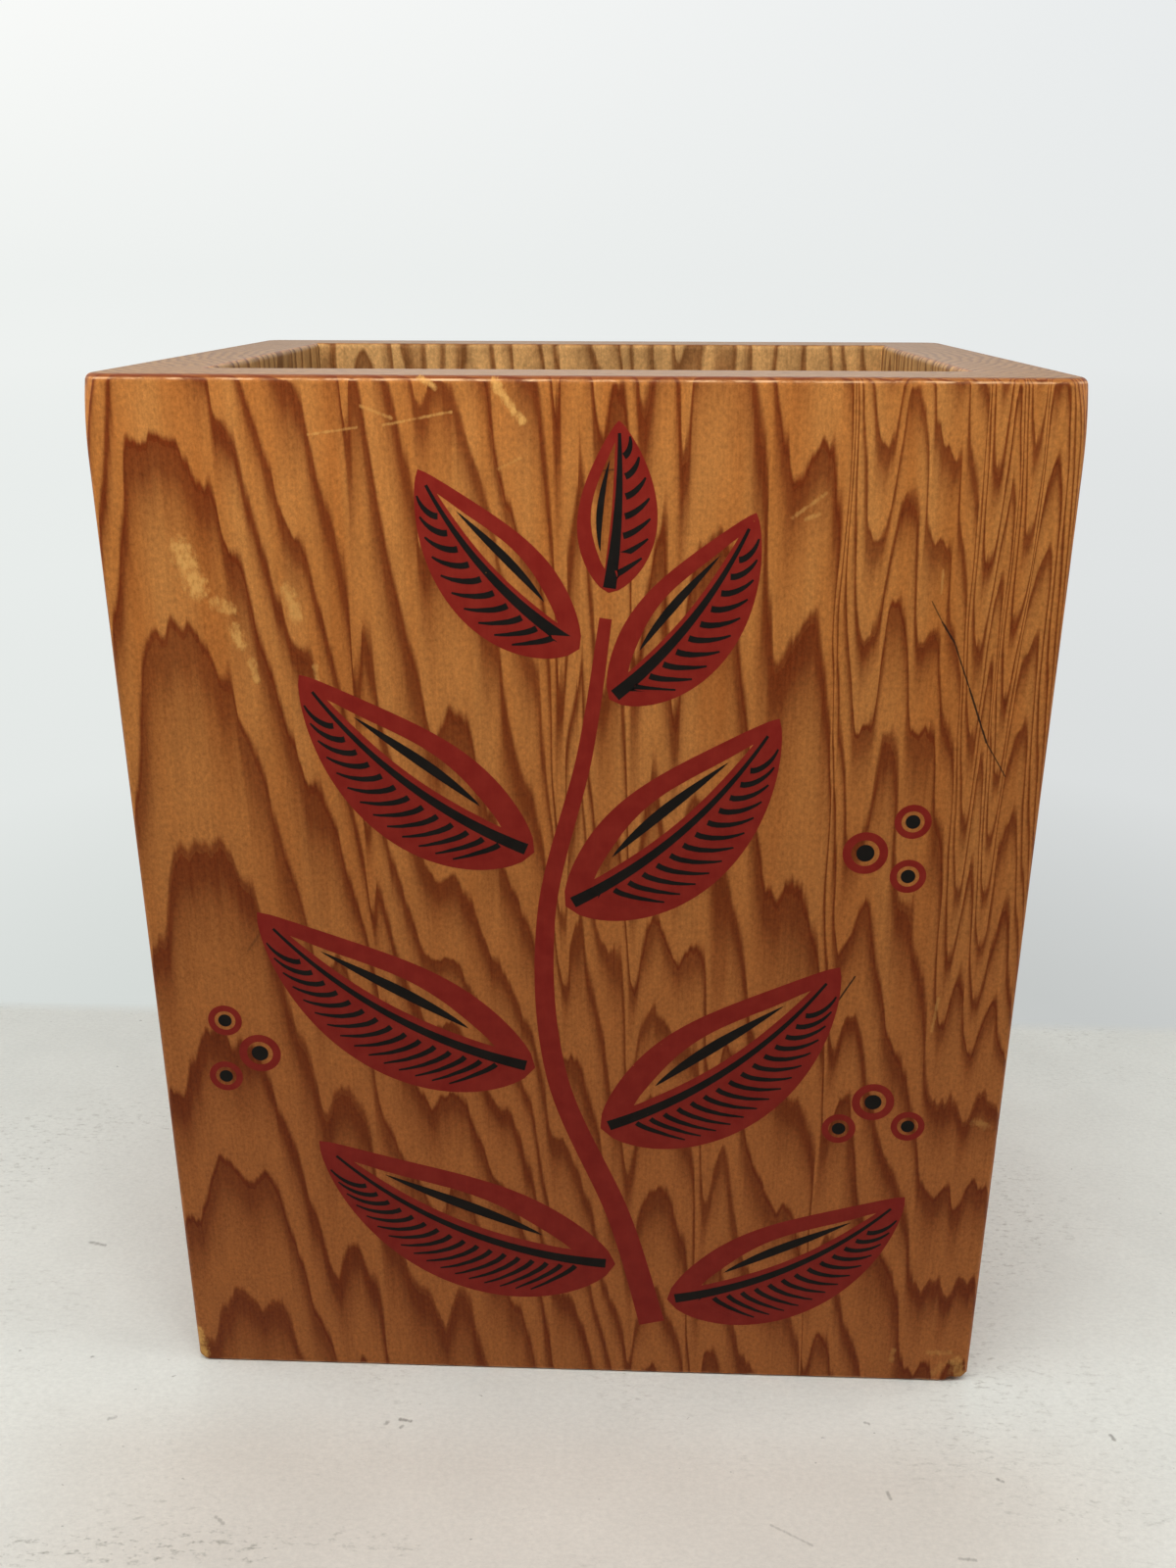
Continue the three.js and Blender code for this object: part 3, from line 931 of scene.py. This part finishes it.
def film(name, outlines, front, back, material, slot):
    """Ink printed in closed outlines, where an outline inside another leaves the wood bare."""
    data = bpy.data.curves.new(name, "CURVE")
    data.dimensions = "2D"
    data.fill_mode = "BOTH"
    data.extrude = (back - front) / 2 * MM
    for outline in outlines:
        line = data.splines.new("POLY")
        line.points.add(len(outline) - 1)
        for point, (x, z) in zip(line.points, outline):
            point.co = (x * MM, z * MM, 0, 1)
        line.use_cyclic_u = True
    drawn = add_object(name, data)
    bpy.context.view_layer.update()
    mesh = bpy.data.meshes.new_from_object(drawn.evaluated_get(bpy.context.evaluated_depsgraph_get()))
    bpy.data.objects.remove(drawn)
    middle = -DEPTH / 2 + (front + back) / 2
    mesh.transform(Matrix.Translation((0, middle * MM, 0)) @ Matrix.Rotation(math.pi / 2, 4, "X"))
    joined = bmesh.new()
    joined.from_mesh(mesh)
    bmesh.ops.remove_doubles(joined, verts=joined.verts, dist=MERGE_DISTANCE * MM)
    joined.to_mesh(mesh)
    joined.free()
    mesh.name = name
    mesh.materials.clear()
    mesh.materials.append(material)
    piece = add_object(name, mesh)
    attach(piece, "root")


def spray_outlines():
    """The red and the black outlines of the print."""
    stem = smooth_path(STEM)
    wide, thin = STEM_HALF_WIDTHS
    red = [ribbon(stem, lambda t: wide + (thin - wide) * t)]
    black = []
    for share, heading, length, half_width, bend in LEAVES:
        away = np.array([math.cos(math.radians(heading)), math.sin(math.radians(heading))])
        base = stem[int(share * (len(stem) - 1))] + away * LEAF_CLEARANCE
        leaf = Leaf(base, heading, length, half_width, bend)
        red += [leaf.outline(), leaf.crescent(*LEAF_HOLLOW)]
        black += [leaf.midrib(), leaf.crescent(*LEAF_SLIVER), *leaf.veins()]
    for x, z, radius in BERRIES:
        red += [ring(x, z, radius), ring(x, z, radius * BERRY_HOLLOW)]
        black.append(ring(x, z, radius * BERRY_HEART))
    return red, black


# Camera, light and stage

def camera_axes():
    """Right, up and forward of the camera."""
    sin_p, cos_p = math.sin(CAMERA_PITCH), math.cos(CAMERA_PITCH)
    sin_y, cos_y = math.sin(CAMERA_YAW), math.cos(CAMERA_YAW)
    forward = Vector((-sin_y * cos_p, cos_y * cos_p, -sin_p))
    level = Vector((cos_y, sin_y, 0))
    upright = level.cross(forward)
    right = level * math.cos(CAMERA_ROLL) + upright * math.sin(CAMERA_ROLL)
    up = upright * math.cos(CAMERA_ROLL) - level * math.sin(CAMERA_ROLL)
    return right, up, forward


def add_camera():
    right, up, forward = camera_axes()
    data = bpy.data.cameras.new("camera")
    data.sensor_width = SENSOR_MM
    data.lens = FOCAL_PX / IMAGE_HEIGHT_PX * SENSOR_MM
    data.clip_start = 0.01
    camera = add_object("camera", data)
    turn = Matrix((right, up, -forward)).transposed().to_4x4()
    camera.matrix_world = Matrix.Translation(Vector(CAMERA_PLACE) * MM) @ turn
    bpy.context.scene.camera = camera


WORLD_LIGHT = 0.13
WORLD_COLOUR = (0.97, 0.985, 1.0, 1.0)

# Lamps: name, place, aim, width, height, power in watts and colour
LAMPS = [
    ("key", (-50, -200, 370), (-30, -70, 130), 360, 80, 0.66, (1.0, 0.985, 0.96)),
    ("left", (-440, -90, 420), (0, -70, 0), 300, 300, 1.0, (0.98, 0.99, 1.0)),
    ("right", (440, -70, 420), (0, -70, 0), 300, 300, 1.24, (0.98, 0.99, 1.0)),
    ("top", (0, 300, 640), (0, -60, 0), 600, 400, 0.95, (1.0, 0.99, 0.97)),
    ("back", (0, 470, 500), (0, 60, 40), 420, 300, 0.5, (0.98, 0.99, 1.0)),
]


def add_lamp(name, place, aim, width, height, power, colour):
    data = bpy.data.lights.new(name, "AREA")
    data.shape = "RECTANGLE"
    data.size = width * MM
    data.size_y = height * MM
    data.energy = power
    data.color = colour
    lamp = add_object(name, data)
    lamp.location = Vector(place) * MM
    lamp.rotation_mode = "QUATERNION"
    lamp.rotation_quaternion = (Vector(aim) - Vector(place)).to_track_quat("-Z", "Y")


def seen_ray(n):
    """1 for rays of the camera and for mirrored and transmitted ones, which see the backdrop."""
    path = n.add("LightPath").outputs
    return n.larger(n.larger(path["Is Camera Ray"], path["Is Glossy Ray"]), path["Is Transmission Ray"])


def add_world():
    """A pale room: plain soft light, and a backdrop a little whiter towards the top and darker to the
    right, as painted shade.
    """
    world = bpy.data.worlds.new("room")
    bpy.context.scene.world = world
    world.use_nodes = True
    world.node_tree.nodes.clear()
    n = Nodes(world.node_tree)
    x, _, z = n.separate(n.add("TexCoord").outputs["Generated"])
    rise = n.remap(z, 0.0, WALL_HIGH)
    left = n.mix(rise, WALL_LEFT[-1], WALL_LEFT_HIGH)
    right = n.mix(rise, WALL_RIGHT_SHADED[-1], WALL_RIGHT_HIGH_SHADED)
    backdrop = n.mix(n.remap(x, *WALL_SIDES), left, right)
    shown = n.add("Background", {"Color": backdrop, "Strength": 1.0}).outputs[0]
    light = n.add("Background", {"Color": WORLD_COLOUR, "Strength": WORLD_LIGHT}).outputs[0]
    both = n.add("MixShader", {0: seen_ray(n), 1: light, 2: shown}).outputs[0]
    n.add("OutputWorld", {0: both})


# Grimy bands and small dark marks on the floor: from, to, half width and strength, as on the front
FLOOR_BANDS = [
    ((-122, -122), (-64, -118), 9.0, 0.8),
    ((-60, -116), (-34, -117), 7.0, 0.5),
    ((92, -104), (124, -104), 9.0, 0.35),
]
FLOOR_MARKS = [
    ((-43.6, -86.0), (-43.2, -85.4), 1.2, 0.5),
    ((-40.5, -84.6), (-38.0, -85.0), 1.2, 0.6),
    ((-40.0, -86.9), (-39.6, -86.3), 1.0, 0.5),
    ((-75.0, -112.0), (-73.0, -113.5), 1.1, 0.4),
    ((-107.0, -87.0), (-106.0, -86.4), 1.3, 0.4),
    ((-134.5, -27.5), (-130.0, -28.5), 1.4, 0.5),
    ((42.0, -109.5), (50.0, -114.0), 0.8, 0.3),
    ((66.0, -81.4), (66.8, -81.8), 1.0, 0.45),
    ((67.8, -100.2), (68.2, -102.0), 1.0, 0.45),
    ((80.0, -116.0), (83.0, -116.2), 1.1, 0.4),
    ((92.6, -96.0), (93.4, -96.4), 1.2, 0.7),
    ((121.0, -83.0), (121.2, -84.0), 1.3, 0.6),
]

WALL_LINE = (92.0, 101.0)  # where the wall behind meets the floor
WALL_GAP = (60.0, 145.0)  # half the width behind the box over which that line fades out
FLOOR_FADE = (235.0, 460.0)  # the floor passes into the backdrop's tone this far from the box
# Where the painted warm bounce light from the wood lies on the floor
WARM_FROM = (-72.0, -100.0)  # the wood's warm light on the floor in front of the box
WARM_HALF_WIDTH = (150.0, 80.0)
FLOOR_STAINS = (0.95, 1.025)  # how stains and grit change the tone
FLOOR_GRIT = (0.90, 1.10)
FLOOR_ROUGHNESS = 0.7
FLOOR_BUMP_STRENGTH = 0.4
# The noise from which smears and specks show, and how strongly
SMEARS = (0.54, 0.68)
GRIMY_PARTS = (0.48, 0.62, 0.05, 0.45)
SPECKS = (0.74, 0.79, 0.0, 0.5)
FLOOR_REACH = 12000.0
FLOOR_DROP = 0.05  # below the foot of the box


def wall_tone_and_shade(n, x, away):
    """The tone of the wall behind, with its painted shade and shadow, where a point of the floor takes its
    place.
    """
    share = n.remap(away, *WALL_RANGE)
    side = n.remap(n.math("DIVIDE", x, away), *WALL_SIDES)
    return n.mix(side, n.ramp(share, WALL_SHARES, WALL_LEFT), n.ramp(share, WALL_SHARES, WALL_RIGHT_SHADED))


def floor_material():
    """Pale painted board with painted warm bounce light in front of the box, and the wall's tone, with its
    painted shade, past the line where the wall begins and far away.
    """
    material, n = new_material("floor")
    place = n.position()
    x, y, _ = n.separate(place)
    flat = n.combine(x, 0.0, y)
    aside = n.math("ABSOLUTE", x)
    away = n.vector("LENGTH", flat)

    stain = n.noise(place, 0.03, detail=6.0, roughness=0.65)
    grit = n.noise(place, (0.7, 1.1, 1.0), detail=4.0, roughness=0.75)
    tone = n.times(n.remap(stain, *MIDDLE, *FLOOR_STAINS), n.remap(grit, *WIDE, *FLOOR_GRIT))
    # Painted bounce light: the floor warmer in front of the box
    warm_bounce = n.times(n.remap(y, *WARM_FROM, soft=True), n.remap(aside, *WARM_HALF_WIDTH, soft=True))
    colour = n.scaled(n.mix(warm_bounce, FLOOR_WHITE, FLOOR_WARM_BOUNCE), tone)

    smear = n.noise(place, (0.30, 0.75, 1.0), detail=5.0, roughness=0.7)
    worn = n.remap(n.noise(place, 0.014, detail=3.0), *GRIMY_PARTS)
    worn = n.larger(worn, stroke_mask(n, flat, FLOOR_BANDS, body=0.3))
    colour = n.mix(n.times(n.remap(smear, *SMEARS), worn), colour, FLOOR_GRIME)
    speck = n.remap(n.noise(place, (0.42, 0.62, 1.0)), *SPECKS)
    speck = n.larger(speck, stroke_mask(n, flat, FLOOR_MARKS, body=0.1))
    colour = n.mix(speck, colour, FLOOR_SPECK)
    board = surface(n, colour, FLOOR_ROUGHNESS, FLOOR_SPECULAR, grit, FLOOR_BUMP, FLOOR_BUMP_STRENGTH)

    # Past the line the floor shows the wall's tone, with its painted shade and shadow
    wall = n.add("Emission", {"Color": wall_tone_and_shade(n, x, away), "Strength": 1.0}).outputs[0]
    past = n.times(n.remap(y, *WALL_LINE, soft=True), n.remap(aside, *WALL_GAP, soft=True))
    beyond = n.larger(past, n.remap(away, *FLOOR_FADE, soft=True))
    both = n.add("MixShader", {0: n.times(beyond, seen_ray(n)), 1: board, 2: wall}).outputs[0]
    n.add("OutputMaterial", {0: both})
    return material


def add_stage():
    corners = [(-1, -1), (1, -1), (1, 1), (-1, 1)]
    points = [(x * FLOOR_REACH, y * FLOOR_REACH, -FLOOR_DROP) for x, y in corners]
    floor = build_mesh("floor", points, [(0, 1, 2, 3)], floor_material())


# The upright boards: piece, CAD node and slot, length, breadth and turn, and how the grain of each
# differs and how much painted shade darkens its inside
BOARDS = [
    ("board_front", "front_board", "cedar_front", WIDTH, DEPTH, 0.0,
     {"worn": True}),
    ("board_back", "back_board", "cedar_back", WIDTH, DEPTH, math.pi,
     {"stretch": -0.9, "rise": 60.0}),
    ("board_right", "right_board", "cedar_right", DEPTH, WIDTH, math.pi / 2,
     {"slide": -12.0, "stretch": -1.15, "rise": 35.0, "inner_shade": 0.84}),
    ("board_left", "left_board", "cedar_left", DEPTH, WIDTH, -math.pi / 2,
     {"slide": 14.0, "stretch": -0.88, "rise": 110.0, "inner_shade": 0.60}),
]


def main():
    bpy.context.scene.view_settings.view_transform = "Standard"
    add_camera()
    add_world()
    add_stage()
    for lamp in LAMPS:
        add_lamp(*lamp)

    for name, node, slot, length, breadth, turn, look in BOARDS:
        wall_board(name, node, length, breadth, turn, cedar(slot, turn, length, breadth, **look), slot)
    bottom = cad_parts["bottom_board"]
    bottom.material_slots[0].material = bottom_cedar("cedar_bottom")

    red, black = spray_outlines()
    film("print_red", red, *RED_FILM, ink("red_ink", RED_INK, RED_INK_PALE), "red_ink")
    film("print_black", black, *BLACK_FILM, ink("black_ink", BLACK_INK, BLACK_INK_PALE), "black_ink")


main()
